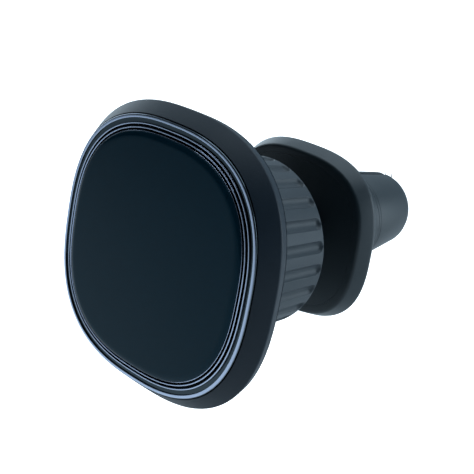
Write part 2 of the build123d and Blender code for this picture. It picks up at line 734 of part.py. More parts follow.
def make_jaw_pad(side, name):
    """The ribbed rubber grip on the inside of one jaw."""
    inner = SLIT / 2
    start = JAW_FRONT + GRIP_START
    end = JAW_TIP - SKIN_THICK - GRIP_SPARE
    pitch = (end - start) / (GRIP_GROOVES + 1)
    with BuildPart() as pad:
        revolve(jaw_round(SKIN_THICK), axis=CLIP_AXIS)
        side_box(side, inner, inner + GRIP_THICK, start, end, STUB_R, Mode.INTERSECT)
        for i in range(GRIP_GROOVES):
            low = start + (i + 0.75) * pitch
            side_box(side, 0, inner + GRIP_GROOVE, low, low + 0.5 * pitch, STUB_R, Mode.SUBTRACT)
    finish(pad, name)


def make_jaw_pins():
    half_length = sqrt(core_radius(PIN_Y) ** 2 - (PIN_X + PIN_R) ** 2) - PIN_SINK
    with BuildPart() as jaw_pins:
        with BuildSketch(CLIP_SECTION):
            with Locations((-PIN_X, PIN_Y), (PIN_X, PIN_Y)):
                Circle(PIN_R)
        extrude(amount=half_length, both=True)
    finish(jaw_pins, "jaw_pins")


def make_jaw_spring():
    """The compression spring that pushes the two tails apart and so shuts the jaws."""
    length = 2 * (TAIL_INNER_X - SPRING_WIRE_R - SLIP)
    start = Vector(-length / 2, BALL_Y + SPRING_Y, 0)
    with BuildPart() as jaw_spring:
        with BuildLine():
            coil = Helix(length / SPRING_TURNS, length, SPRING_R, center=start, direction=(1, 0, 0))
        with BuildSketch(Plane(origin=coil @ 0, z_dir=coil % 0)):
            Circle(SPRING_WIRE_R)
        sweep(path=coil, is_frenet=True)
    finish(jaw_spring, "jaw_spring")


def main():
    os.makedirs("parts", exist_ok=True)
    make_face_panel()
    make_panel_tape()
    make_trim_ring()
    make_head_bezel()
    make_magnet_carrier()
    make_magnets()
    make_yoke_plate()
    make_back_cover()
    make_head_screws()
    make_socket_boss()
    make_socket_screws()
    make_ball_liner()
    make_seat_ring()
    make_collar_washer()
    make_lock_collar()
    make_ball_stud()
    make_stud_insert()
    core = make_core_blank()
    make_clip_base(core)
    make_vent_pad(core)
    for side, hand in ((-1, "left"), (1, "right")):
        make_jaw(side, f"jaw_{hand}")
        make_jaw_skin(side, f"jaw_skin_{hand}")
        make_jaw_pad(side, f"jaw_pad_{hand}")
    make_jaw_pins()
    make_jaw_spring()


main()
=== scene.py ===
"""Looks of a magnetic phone mount for a car's air vent, laid out as an add-on.

Metres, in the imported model's frame: X to the right of someone facing the panel,
+Y from the panel to the vent, +Z up. Head pieces are measured along the head's
axis from the ball's centre towards the user, clip pieces from the same point
towards the vent.
"""

import json
from math import asin, ceil, cos, pi, radians, sin, sqrt, tan

import bmesh
import bpy
from bpy.props import FloatProperty, FloatVectorProperty, IntProperty, PointerProperty
from mathutils import Matrix, Vector


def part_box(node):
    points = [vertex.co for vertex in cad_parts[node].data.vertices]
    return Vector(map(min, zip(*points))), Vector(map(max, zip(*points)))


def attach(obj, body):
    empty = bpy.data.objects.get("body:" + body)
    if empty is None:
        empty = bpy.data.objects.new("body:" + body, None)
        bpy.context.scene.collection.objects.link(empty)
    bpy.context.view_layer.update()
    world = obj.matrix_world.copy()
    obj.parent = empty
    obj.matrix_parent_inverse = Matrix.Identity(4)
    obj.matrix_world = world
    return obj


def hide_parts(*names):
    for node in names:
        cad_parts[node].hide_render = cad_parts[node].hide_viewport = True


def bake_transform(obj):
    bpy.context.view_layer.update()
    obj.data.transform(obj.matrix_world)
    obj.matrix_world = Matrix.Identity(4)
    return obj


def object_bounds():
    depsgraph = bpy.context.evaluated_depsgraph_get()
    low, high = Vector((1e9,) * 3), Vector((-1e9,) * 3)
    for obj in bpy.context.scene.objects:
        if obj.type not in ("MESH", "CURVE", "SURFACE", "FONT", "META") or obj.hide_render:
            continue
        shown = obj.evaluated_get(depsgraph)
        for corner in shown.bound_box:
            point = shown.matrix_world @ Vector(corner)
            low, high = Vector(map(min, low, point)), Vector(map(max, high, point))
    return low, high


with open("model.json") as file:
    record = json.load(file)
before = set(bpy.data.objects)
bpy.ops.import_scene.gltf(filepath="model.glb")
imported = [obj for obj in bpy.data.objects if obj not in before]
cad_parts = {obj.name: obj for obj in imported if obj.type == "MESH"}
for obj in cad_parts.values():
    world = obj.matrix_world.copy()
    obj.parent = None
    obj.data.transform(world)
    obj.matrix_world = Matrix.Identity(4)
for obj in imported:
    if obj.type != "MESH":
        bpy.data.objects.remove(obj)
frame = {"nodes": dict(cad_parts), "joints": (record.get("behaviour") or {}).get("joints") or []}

bl_info = {
    "name": "Vent Phone Mount",
    "version": (1, 0, 0),
    "blender": (4, 5, 0),
    "location": "View3D > Sidebar > Phone Mount",
    "description": "Builds the surfaces and finishes of a magnetic vent mount",
    "category": "Object",
}

MM = 0.001
CAD_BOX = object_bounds()
JOINTS = {joint["name"]: joint for joint in frame["joints"]}
BALL = Vector(JOINTS["ball_pitch"]["pos_m"])
USER = Vector(JOINTS["head_spin"]["axis"])
ACROSS = Vector((1, 0, 0))
VENT = Vector((0, 1, 0))


def axes_at(origin, across, along):
    """A matrix whose X is across and whose Z is along."""
    turn = Matrix((across, along.cross(across), along)).transposed().to_4x4()
    return Matrix.Translation(origin) @ turn


HEAD = axes_at(BALL, ACROSS, USER)
CLIP = axes_at(BALL, -ACROSS, VENT)


def span(node, direction):
    """How far a CAD node reaches each way along a direction from the ball's centre."""
    reach = [(v.co - BALL).dot(direction) for v in frame["nodes"][node].data.vertices]
    return min(reach), max(reach)


def half_width(node):
    low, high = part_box(node)
    return (high.x - low.x) / 2


# ---- settings ------------------------------------------------------------------


def length(name, description, millimetres):
    return FloatProperty(
        name=name, description=description, default=millimetres * MM, min=0, unit="LENGTH", precision=5
    )


def share(name, description, value, high=1.0):
    return FloatProperty(name=name, description=description, default=value, min=0, max=high)


def tint(name, description, rgb):
    return FloatVectorProperty(
        name=name, description=description, default=rgb, size=3, min=0, max=1, subtype="COLOR"
    )


class HeadSettings(bpy.types.PropertyGroup):
    power: share("Outline power", "Superellipse power of the head's outline", 2.57, 6)
    panel_edge: length("Panel edge", "Width of the panel's rounded edge", 1.25)
    panel_drop: length("Panel drop", "How far the panel's rounded edge falls", 0.42)
    trim_inset: length("Trim inset", "How far the bead stays inside the packed ring", 0.18)
    bead_width: length("Bead width", "Width of the polished bead", 0.62)
    bead_rise: length("Bead rise", "Height of the bead over the shallow band", 0.3)
    band_width: length("Band width", "Width of the shallow band inside the bead", 0.72)
    crest_width: length("Crest width", "Width of the widest ridge beside the panel", 0.26)
    crest_rise: length("Crest rise", "Height of the ridges over the shallow band", 0.3)
    crest_gap: length("Crest gap", "Width of the groove between two ridges", 0.42)
    groove_sink: length("Groove sink", "Depth of the grooves under the shallow band", 0.16)
    slope_round: length("Slope edge", "Radius of the bezel's inner edge", 0.18)
    side_round: length("Side edge", "Radius between the bezel's slope and its side", 0.55)
    cover_back_half: length("Cover back", "Half-width of the flat at the back of the cover", 17.6)
    wall: length("Wall", "Wall thickness of the two shells", 1.6)
    cover_slope: share("Cover slope", "How fast the cover narrows behind the seam", 0.8, 3)
    seam_inset: length("Seam inset", "How far the seam lies inside the widest edge", 0.55)
    side_height: length("Side height", "Height of the widest edge over the seam", 1.75)
    web: length("Web", "Thickness of the web under the panel", 1.0)
    cover_hole: length("Cover hole", "Radius of the cover's hole for the socket", 12.62)
    cover_floor: length("Cover floor", "Depth of the cover's floor under the socket's flange", 1.2)
    floor_inset: length("Floor inset", "How far the cover's floor stays inside its wall", 3.6)
    fit: length("Fit", "Gap between two seated pieces", 0.06)
    screw_from_axis: length("Screw place", "Distance of the head screws from the axis each way", 14.6)
    screw_recess: length("Screw recess", "Radius of the recess round a head screw", 2.0)
    screw_seat: length("Screw seat", "Height of the face under the screw heads", 11.3)


class CollarSettings(bpy.types.PropertyGroup):
    flutes: IntProperty(name="Flutes", description="Grooves round the collar", default=24, min=3)
    flute_width: length("Flute width", "Width of a groove at the surface", 2.2)
    flute_depth: length("Flute depth", "Depth of a groove", 0.62)
    flute_stop: length("Flute end", "Land between a groove's closed end and the rear rim", 0.15)
    edge: length("Flute edge", "Rounding where a groove meets the land", 0.045)
    rim_round: length("Rim", "Radius of the rear rim", 0.28)
    rear_radius: length("Rear radius", "Radius of the collar at its rear rim", 15.43)
    draft: FloatProperty(
        name="Draft", description="Taper of the side", default=radians(2.5), subtype="ANGLE"
    )
    bore: length("Bore", "Radius of the threaded bore", 12.58)
    mouth: length("Mouth", "Radius of the rear opening", 11.6)
    throat: length("Throat", "Radius of the shoulder's inner edge", 8.9)
    shoulder: length("Shoulder", "Distance of the shoulder behind the ball's centre", 4.95)


class ClipSettings(bpy.types.PropertyGroup):
    pad_power: share("Pad power", "Superellipse power of the vent pad", 2.76, 6)
    pad_aspect: share("Pad aspect", "Height over width of the vent pad", 0.96)
    pad_front_half: length("Pad front", "Half-width of the pad's front face", 15.95)
    plate_half: length("Plate", "Half-width of the stiff plate set in the pad", 14.52)
    side_depth: length("Side depth", "Depth of the pad's side wall", 3.7)
    front_round: length("Front edge", "Radius of the pad's front edge", 0.8)
    back_round: length("Back edge", "Radius of the pad's back edge", 1.0)
    waist_curve: share("Waist curve", "How fast the waist narrows towards the jaws", 2.6, 6)
    plate_depth: length("Plate depth", "Thickness of the stiff plate", 2.5)
    core_front: length("Core front", "Radius of the stiff core behind the plate", 12)
    waist_wall: length("Waist wall", "Thickness of the soft waist", 1.0)
    skin: length("Skin", "Thickness of the soft skin", 1.2)
    boot_sink: length("Boot sink", "How far the bending part of the skin lies below the rest", 0.03)
    jaw_draft_radius: length("Jaw radius", "Radius of the jaws where the tip starts to round", 7.45)
    tip_depth: length("Tip depth", "Length of the rounded tip", 2.3)
    tip_radius: length("Tip radius", "Radius of the flat at the tip", 5.55)
    slit: length("Slit", "Width of the slit between the jaws", 1.2)
    slit_edge: length("Slit edge", "Rounding of the skin along the slit", 0.22)
    ribs: IntProperty(name="Grip ribs", description="Ribs on each grip pad", default=8, min=2)


class FinishSettings(bpy.types.PropertyGroup):
    panel: tint("Panel", "Colour under the panel's gloss", (0.0030, 0.0200, 0.0330))
    shell: tint("Shell", "Colour of the matte shells", (0.0024, 0.0100, 0.0190))
    collar: tint("Collar", "Colour of the fluted collar", (0.0150, 0.0240, 0.0320))
    skin: tint("Skin", "Colour of the soft pad and jaws", (0.0060, 0.0140, 0.0195))
    # The crest colour is partly polished metal and partly a painted highlight; the groove colour is
    # near-black painted shade.
    trim: tint("Trim", "Colour of the polished crests", (0.60, 0.66, 0.82))
    trim_low: tint("Trim band", "Colour of the trim's shallow band", (0.06, 0.075, 0.085))
    trim_groove_painted_shade: tint("Trim grooves", "Colour of the trim's grooves", (0.0, 0.001, 0.0015))
    inner: tint("Inner parts", "Colour of the moulded inner parts", (0.03, 0.031, 0.033))
    dust: tint("Dust", "Colour of dust specks", (0.45, 0.47, 0.48))


class StageSettings(bpy.types.PropertyGroup):
    lens: FloatProperty(name="Lens", description="Focal length", default=77.96, unit="CAMERA")
    drop: length("Floor drop", "Distance of the floor under the mount", 55)
    floor_glow: share("Floor glow", "Evenness of the floor as the camera sees it", 0.95, 4)
    top_power: FloatProperty(name="Top", description="Overhead softbox", default=1.7, unit="POWER")
    rear_power: FloatProperty(name="Rear", description="Rear right softbox", default=1.7, unit="POWER")
    left_power: FloatProperty(name="Left", description="Left softbox", default=0.7, unit="POWER")


class MountSettings(bpy.types.PropertyGroup):
    head: PointerProperty(type=HeadSettings)
    collar: PointerProperty(type=CollarSettings)
    clip: PointerProperty(type=ClipSettings)
    finish: PointerProperty(type=FinishSettings)
    stage: PointerProperty(type=StageSettings)


def settings():
    return bpy.context.scene.phone_mount


# ---- outlines and meshes ---------------------------------------------------------------


def superellipse(angle, power, aspect):
    """A point of the outline whose half-width is 1."""
    x, y = cos(angle), sin(angle)
    reach = (abs(x) ** power + abs(y) ** power) ** (-1 / power)
    return reach * x, aspect * reach * y


def rounded(corners, closed=True, steps=6):
    """A smooth profile from (half-width, height, radius) corners."""
    profile = []
    for i, (half, height, radius) in enumerate(corners):
        corner = Vector((half, height))
        at_end = not closed and i in (0, len(corners) - 1)
        if at_end or not radius:
            profile.append(corner)
            continue
        before = Vector(corners[i - 1][:2]) - corner
        after = Vector(corners[(i + 1) % len(corners)][:2]) - corner
        cut = radius / tan(before.angle(after) / 2)
        cut = min(cut, 0.49 * before.length, 0.49 * after.length)
        start = corner + before.normalized() * cut
        end = corner + after.normalized() * cut
        for k in range(steps + 1):
            t = k / steps
            profile.append(start * (1 - t) ** 2 + corner * 2 * t * (1 - t) + end * t * t)
    return profile


def loft_round(profile, place, shape, segments=224, closed=True):
    """A bmesh that carries a profile round an axis. shape(half, height) gives power and aspect."""
    mesh = bmesh.new()
    radius = mesh.verts.layers.float.new("ring_place")
    rings = []
    for half, height in profile:
        if half < 1e-7:
            pole = mesh.verts.new(place @ Vector((0, 0, height)))
            rings.append([pole] * segments)
            continue
        power, aspect = shape(half, height)
        ring = []
        for i in range(segments):
            x, y = superellipse(2 * pi * i / segments, power, aspect)
            ring.append(mesh.verts.new(place @ Vector((half * x, half * y, height))))
            ring[-1][radius] = half
        rings.append(ring)
    following = rings[1:] + (rings[:1] if closed else [])
    for ring, after in zip(rings, following):
        for i in range(segments):
            j = (i + 1) % segments
            corners = list(dict.fromkeys([ring[i], ring[j], after[j], after[i]]))
            mesh.faces.new(corners)
    bmesh.ops.recalc_face_normals(mesh, faces=mesh.faces)
    return mesh


def as_object(name, mesh, material, sharp=38):
    """A linked object from a bmesh, smooth but for edges over an angle in degrees."""
    data = bpy.data.meshes.new(name)
    mesh.to_mesh(data)
    mesh.free()
    made = bpy.data.objects.new(name, data)
    bpy.context.scene.collection.objects.link(made)
    data.materials.append(material)
    shade(made, sharp)
    return made


def shade(made, sharp=38):
    made.data.polygons.foreach_set("use_smooth", [True] * len(made.data.polygons))
    made.data.set_sharp_from_angle(angle=radians(sharp))


def bake_modifiers(made):
    """Turn the evaluated object into a plain mesh."""
    graph = bpy.context.evaluated_depsgraph_get()
    data = bpy.data.meshes.new_from_object(made.evaluated_get(graph), depsgraph=graph)
    made.modifiers.clear()
    made.data = data


def settle(made, body, slot, *nodes):
    """Seat a finished piece: its body and the CAD nodes it stands for. Its slot is not used."""
    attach(made, body)
    if nodes:
        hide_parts(*nodes)


# ---- geometry node trees ---------------------------------------------------------------


class Tree:
    """A geometry node tree with short calls for its sockets, nodes and links."""

    def __init__(self, name, inputs):
        self.tree = bpy.data.node_groups.new(name, "GeometryNodeTree")
        self.tree.interface.new_socket("Geometry", in_out="INPUT", socket_type="NodeSocketGeometry")
        self.keys = {}
        for label, kind in inputs:
            socket = self.tree.interface.new_socket(label, in_out="INPUT", socket_type=f"NodeSocket{kind}")
            self.keys[label] = socket.identifier
        self.tree.interface.new_socket("Geometry", in_out="OUTPUT", socket_type="NodeSocketGeometry")
        self.given = self.tree.nodes.new("NodeGroupInput").outputs
        self.result = self.tree.nodes.new("NodeGroupOutput").inputs

    def add(self, kind, operation=None, **links):
        node = self.tree.nodes.new(kind)
        if operation:
            node.operation = operation
        for key, value in links.items():
            socket = node.inputs[int(key[1:])] if key[0] == "_" else node.inputs[key.replace("_", " ")]
            if isinstance(value, bpy.types.NodeSocket):
                self.tree.links.new(value, socket)
            else:
                socket.default_value = value
        return node.outputs

    def finish(self, geometry, material):
        realized = self.add("GeometryNodeRealizeInstances", Geometry=geometry)
        painted = self.add("GeometryNodeSetMaterial", Geometry=realized[0], Material=material)
        self.tree.links.new(painted[0], self.result[0])


def turned_array():
    """Copies of a sector turned round local Z, placed and welded."""
    inputs = [("Count", "Int"), ("Place", "Vector"), ("Turn", "Rotation"), ("Weld", "Float")]
    tree = Tree("Turned Array", inputs + [("Material", "Material")])
    points = tree.add("GeometryNodePoints", Count=tree.given["Count"])
    step = tree.add("ShaderNodeMath", "DIVIDE", _0=2 * pi, _1=tree.given["Count"])
    index = tree.add("GeometryNodeInputIndex")
    angle = tree.add("ShaderNodeMath", "MULTIPLY", _0=index[0], _1=step[0])
    spin = tree.add("ShaderNodeCombineXYZ", Z=angle[0])
    copies = tree.add(
        "GeometryNodeInstanceOnPoints", Points=points[0], Instance=tree.given["Geometry"], Rotation=spin[0]
    )
    whole = tree.add("GeometryNodeRealizeInstances", Geometry=copies[0])
    welded = tree.add("GeometryNodeMergeByDistance", Geometry=whole[0], Distance=tree.given["Weld"])
    placed = tree.add(
        "GeometryNodeTransform",
        Geometry=welded[0],
        Translation=tree.given["Place"],
        Rotation=tree.given["Turn"],
    )
    tree.finish(placed[0], tree.given["Material"])
    return tree


def row_array():
    """Copies of a bar along a step, each a little shorter than the one before."""
    inputs = [("Count", "Int"), ("Step", "Vector"), ("Last Size", "Float"), ("Material", "Material")]
    tree = Tree("Row Array", inputs)
    index = tree.add("GeometryNodeInputIndex")
    along = tree.add("ShaderNodeVectorMath", "SCALE", _0=tree.given["Step"], Scale=index[0])
    points = tree.add("GeometryNodePoints", Count=tree.given["Count"], Position=along[0])
    last = tree.add("ShaderNodeMath", "SUBTRACT", _0=tree.given["Count"], _1=1.0)
    place = tree.add("ShaderNodeMath", "DIVIDE", _0=index[0], _1=last[0])
    size = tree.add("ShaderNodeMapRange", Value=place[0], To_Min=1.0, To_Max=tree.given["Last Size"])
    stretch = tree.add("ShaderNodeCombineXYZ", X=1.0, Y=1.0, Z=size[0])
    copies = tree.add(
        "GeometryNodeInstanceOnPoints", Points=points[0], Instance=tree.given["Geometry"], Scale=stretch[0]
    )
    tree.finish(copies[0], tree.given["Material"])
    return tree


def run_tree(made, tree, **values):
    """Run a tree on an object with named inputs and keep the result as its mesh."""
    modifier = made.modifiers.new(tree.tree.name, "NODES")
    modifier.node_group = tree.tree
    for label, value in values.items():
        modifier[tree.keys[label.replace("_", " ")]] = value
    made.update_tag()
    bpy.context.view_layer.update()
    bake_modifiers(made)
    shade(made)


# ---- finishes --------------------------------------------------------------------------


def shader_group(name, inputs, outputs):
    group = bpy.data.node_groups.new(name, "ShaderNodeTree")
    for label, kind, value in inputs:
        socket = group.interface.new_socket(label, in_out="INPUT", socket_type=f"NodeSocket{kind}")
        if value is not None:
            socket.default_value = value
    for label in outputs:
        group.interface.new_socket(label, in_out="OUTPUT", socket_type="NodeSocketFloat")
    given = group.nodes.new("NodeGroupInput").outputs
    return group, given, group.nodes.new("NodeGroupOutput").inputs


def put(tree, kind, **sockets):
    """Add a shader node; a socket's value is a number, a colour or another socket."""
    node = tree.nodes.new(kind)
    for key, value in sockets.items():
        if not key.startswith("_") and not key[0].isupper():
            setattr(node, key, value)
            continue
        socket = node.inputs[int(key[1:])] if key[0] == "_" else node.inputs[key.replace("_", " ")]
        if isinstance(value, bpy.types.NodeSocket):
            tree.links.new(value, socket)
        else:
            socket.default_value = value
    return node


def mix(tree, share, first, second):
    """A colour between two, by a share from 0 to 1."""
    colours = [c if isinstance(c, bpy.types.NodeSocket) else [*c, 1] for c in (first, second)]
    made = put(tree, "ShaderNodeMix", data_type="RGBA", Factor=share, _6=colours[0], _7=colours[1])
    return made.outputs[2]


def shades(colour, dark, light):
    """A darker and a lighter shade of one colour."""
    return [dark * c for c in colour], [min(1, light * c) for c in colour]


def moulded_grain():
    """Fine moulded texture and slow mottling."""
    inputs = [("Vector", "Vector", None), ("Grain", "Float", 3000.0), ("Mottle", "Float", 90.0)]
    group, given, result = shader_group("Moulded Grain", inputs, ["Height", "Mottling"])
    fine = put(group, "ShaderNodeTexNoise", Vector=given[0], Scale=given[1], Detail=3.0, Roughness=0.6)
    slow = put(group, "ShaderNodeTexNoise", Vector=given[0], Scale=given[2], Detail=4.0, Roughness=0.55)
    cells = put(group, "ShaderNodeTexVoronoi", Vector=given[0], Scale=given[1], feature="SMOOTH_F1")
    height = put(group, "ShaderNodeMath", operation="MULTIPLY", _0=fine.outputs[0], _1=cells.outputs[0])
    group.links.new(height.outputs[0], result[0])
    group.links.new(slow.outputs[0], result[1])
    return group


def dust_specks():
    """Sparse round specks of mixed size."""
    inputs = [("Vector", "Vector", None), ("Density", "Float", 260.0), ("Share", "Float", 0.1)]
    group, given, result = shader_group("Dust Specks", inputs, ["Mask"])
    cells = put(group, "ShaderNodeTexVoronoi", Vector=given[0], Scale=given[1], Randomness=1.0)
    parts = put(group, "ShaderNodeSeparateColor", _0=cells.outputs["Color"])
    reach = put(group, "ShaderNodeMath", operation="MULTIPLY", _0=parts.outputs[1], _1=0.05)
    far = cells.outputs["Distance"]
    inside = put(group, "ShaderNodeMath", operation="LESS_THAN", _0=far, _1=reach.outputs[0])
    chosen = put(group, "ShaderNodeMath", operation="LESS_THAN", _0=parts.outputs[0], _1=given[2])
    mask = put(group, "ShaderNodeMath", operation="MULTIPLY", _0=inside.outputs[0], _1=chosen.outputs[0])
    group.links.new(mask.outputs[0], result[0])
    return group


def handling_smudges():
    """Soft wide smears left by wiping and touching."""
    inputs = [("Vector", "Vector", None), ("Size", "Float", 60.0)]
    group, given, result = shader_group("Handling Smudges", inputs, ["Smear"])
    turned = put(
        group, "ShaderNodeMapping", Vector=given[0], Rotation=(0.3, 0.5, 0.4), Scale=(1.0, 1.0, 0.35)
    )
    broad = put(
        group,
        "ShaderNodeTexNoise",
        Vector=turned.outputs[0],
        Scale=given[1],
        Detail=5.0,
        Distortion=0.6,
    )
    ramp = put(group, "ShaderNodeMapRange", Value=broad.outputs[0], From_Min=0.45, From_Max=0.75)
    group.links.new(ramp.outputs[0], result[0])
    return group


class Finishes:
    """Every material of the mount, each made on first use."""

    def __init__(self):
        self.made = {}
        self.groups = {
            "grain": moulded_grain(),
            "dust": dust_specks(),
            "smudge": handling_smudges(),
        }

    def __call__(self, name):
        if name not in self.made:
            self.made[name] = getattr(self, name)()
        return self.made[name]

    def base(self, name, **constants):
        """A material with its Principled BSDF set, and Object coordinates."""
        material = bpy.data.materials.new(name)
        material.use_nodes = True
        tree = material.node_tree
        surface = tree.nodes["Principled BSDF"]
        for key, value in constants.items():
            surface.inputs[key.replace("_", " ")].default_value = value
        where = put(tree, "ShaderNodeTexCoord").outputs["Object"]
        return material, tree, surface, where

    def effect(self, tree, kind, **sockets):
        """One of the shared effects, placed in a material with its own values."""
        return put(tree, "ShaderNodeGroup", node_tree=self.groups[kind], **sockets).outputs

    def moulded(self, name, colour, rough, grain, depth, specular=0.5, dust=0.1, sheen=0.0):
        """Matte moulding: grain, mottling and a little dust."""
        material, tree, surface, where = self.base(name, Specular_IOR_Level=specular, Sheen_Weight=sheen)
        texture = self.effect(tree, "grain", Vector=where, Grain=grain, Mottle=110.0)
        specks = self.effect(tree, "dust", Vector=where, Density=330.0, Share=dust)
        mottled = mix(tree, texture["Mottling"], *shades(colour, 0.86, 1.16))
        dusty = mix(tree, specks["Mask"], mottled, settings().finish.dust)
        tree.links.new(dusty, surface.inputs["Base Color"])
        low, high = rough - 0.05, rough + 0.06
        gloss = put(tree, "ShaderNodeMapRange", Value=texture["Mottling"], To_Min=low, To_Max=high)
        tree.links.new(gloss.outputs[0], surface.inputs["Roughness"])
        bump = put(tree, "ShaderNodeBump", Strength=0.55, Distance=depth, Height=texture["Height"])
        tree.links.new(bump.outputs[0], surface.inputs["Normal"])
        return material

    def metal(self, name, colour, rough, brushed=False):
        """Plated or turned metal with fine marks."""
        material, tree, surface, where = self.base(name, Metallic=1.0)
        stretch = (900.0, 900.0, 4000.0) if brushed else (1800.0, 1800.0, 1800.0)
        marks_at = put(tree, "ShaderNodeMapping", Vector=where, Scale=stretch)
        marks = put(tree, "ShaderNodeTexNoise", Vector=marks_at.outputs[0], Scale=1.0, Detail=3.0)
        tone = mix(tree, marks.outputs[0], *shades(colour, 0.8, 1.15))
        tree.links.new(tone, surface.inputs["Base Color"])
        low, high = rough - 0.07, rough + 0.12
        gloss = put(tree, "ShaderNodeMapRange", Value=marks.outputs[0], To_Min=low, To_Max=high)
        tree.links.new(gloss.outputs[0], surface.inputs["Roughness"])
        bump = put(tree, "ShaderNodeBump", Strength=0.3, Distance=0.00001, Height=marks.outputs[0])
        tree.links.new(bump.outputs[0], surface.inputs["Normal"])
        return material

    def shell(self):
        return self.moulded("matte_shell", settings().finish.shell, 0.5, 5200.0, 0.00003, 0.32)

    def collar(self):
        return self.moulded("matte_collar", settings().finish.collar, 0.52, 4600.0, 0.00004, 0.4, 0.14)

    def skin(self):
        return self.moulded("soft_skin", settings().finish.skin, 0.44, 6500.0, 0.00002, 0.4, 0.03, 0.05)

    def inner(self):
        return self.moulded("moulded_inner", settings().finish.inner, 0.5, 2600.0, 0.00003, 0.4, 0.0)

    def ball(self):
        return self.moulded("satin_ball", settings().finish.inner, 0.34, 3800.0, 0.00001, 0.5, 0.0)

    def soft(self):
        return self.moulded("grip_rubber", (0.018, 0.020, 0.022), 0.62, 3600.0, 0.00004, 0.35, 0.05, 0.1)

    def tape(self):
        return self.moulded("foam_tape", (0.05, 0.05, 0.052), 0.8, 1500.0, 0.00006, 0.2, 0.0)

    def slip(self):
        return self.moulded("slip_washer", (0.68, 0.68, 0.65), 0.38, 2600.0, 0.00001, 0.5, 0.0)

    def steel(self):
        return self.metal("plated_steel", (0.5, 0.5, 0.52), 0.32, brushed=True)

    def screw(self):
        return self.metal("blackened_screw", (0.07, 0.072, 0.076), 0.36)

    def magnet(self):
        return self.metal("nickel_magnet", (0.62, 0.61, 0.59), 0.2)

    def brass(self):
        return self.metal("turned_brass", (0.68, 0.48, 0.19), 0.28)

    def panel(self):
        """Deep gloss with faint smears and a few specks."""
        finish = settings().finish
        material, tree, surface, where = self.base(
            "gloss_panel", Specular_IOR_Level=0.22, Specular_Tint=(0.5, 0.82, 1.0, 1.0)
        )
        smear = self.effect(tree, "smudge", Vector=where, Size=70.0)
        specks = self.effect(tree, "dust", Vector=where, Density=190.0, Share=0.07)
        grain = self.effect(tree, "grain", Vector=where, Grain=900.0, Mottle=38.0)
        mottled = mix(tree, grain["Mottling"], *shades(finish.panel, 0.86, 1.15))
        dusty = mix(tree, specks["Mask"], mottled, finish.dust)
        tree.links.new(dusty, surface.inputs["Base Color"])
        gloss = put(tree, "ShaderNodeMapRange", Value=smear["Smear"], To_Min=0.06, To_Max=0.16)
        tree.links.new(gloss.outputs[0], surface.inputs["Roughness"])
        bump = put(tree, "ShaderNodeBump", Strength=0.12, Distance=0.00002, Height=grain["Mottling"])
        tree.links.new(bump.outputs[0], surface.inputs["Normal"])
        return material

    def trim(self):
        """Polished metal whose crests are painted bright as highlights and whose grooves are painted
        near-black as shade, by height over the band, with fine turning lines that follow the outline.
        """
        material, tree, surface, where = self.base("polished_trim_painted_light", Metallic=1.0)
        place = put(tree, "ShaderNodeAttribute", attribute_name="ring_place")
        pitch = 0.09 * MM
        lines = put(tree, "ShaderNodeMath", operation="MULTIPLY", _0=place.outputs["Fac"], _1=2 * pi / pitch)
        wave = put(tree, "ShaderNodeMath", operation="SINE", _0=lines.outputs[0])
        smear = self.effect(tree, "smudge", Vector=where, Size=140.0)
        crest = put(tree, "ShaderNodeAttribute", attribute_name="crest")
        # Painted shade: points below the band darken towards the near-black groove colour.
        low = put(tree, "ShaderNodeMapRange", Value=crest.outputs["Fac"], From_Min=-0.45, From_Max=-0.1)
        # Painted highlight: the tops of the bead and the ridges turn to the bright crest colour.
        high = put(
            tree,
            "ShaderNodeMapRange",
            interpolation_type="SMOOTHSTEP",
            Value=crest.outputs["Fac"],
            From_Min=0.55,
            From_Max=1.0,
        )
        finish = settings().finish
        dark = mix(tree, low.outputs[0], finish.trim_groove_painted_shade, finish.trim_low)
        tree.links.new(mix(tree, high.outputs[0], dark, finish.trim), surface.inputs["Base Color"])
        gloss = put(tree, "ShaderNodeMapRange", Value=smear["Smear"], To_Min=0.1, To_Max=0.17)
        tree.links.new(gloss.outputs[0], surface.inputs["Roughness"])
        bump = put(tree, "ShaderNodeBump", Strength=0.12, Distance=0.000008, Height=wave.outputs[0])
        tree.links.new(bump.outputs[0], surface.inputs["Normal"])
        return material


FINISHES = None


def finish_of(name):
    global FINISHES
    if FINISHES is None:
        FINISHES = Finishes()
    return FINISHES(name)


# ---- pieces of the head ----------------------------------------------------------------


def head_shape(half, height):
    return settings().head.power, 1.0


class MOUNT_OT_face_panel(bpy.types.Operator):
    """Make the flat gloss panel with its rounded edge"""

    bl_idname = "mount.face_panel"
    bl_label = "Face Panel"

    def execute(self, context):
        base, top = span("face_panel", USER)
        half = half_width("face_panel")
        head = settings().head
        profile = [Vector((0, base)), Vector((half - 0.05 * MM, base)), Vector((half, base + 0.05 * MM))]
        steps = 12
        for i in range(steps + 1):
            turn = radians(90 * i / steps)
            inward = head.panel_edge * (1 - cos(turn))
            profile.append(Vector((half - inward, top - head.panel_drop * (1 - sin(turn)))))
        profile.append(Vector((0, top)))
        mesh = loft_round(profile, HEAD, head_shape, closed=False)
        settle(as_object("gloss_panel", mesh, finish_of("panel")), "head", "panel", "face_panel")
        return {"FINISHED"}


RIDGES = ((1, 1), (0.85, 1.4), (0.65, 1.7))  # width and height of each, as shares of the first's


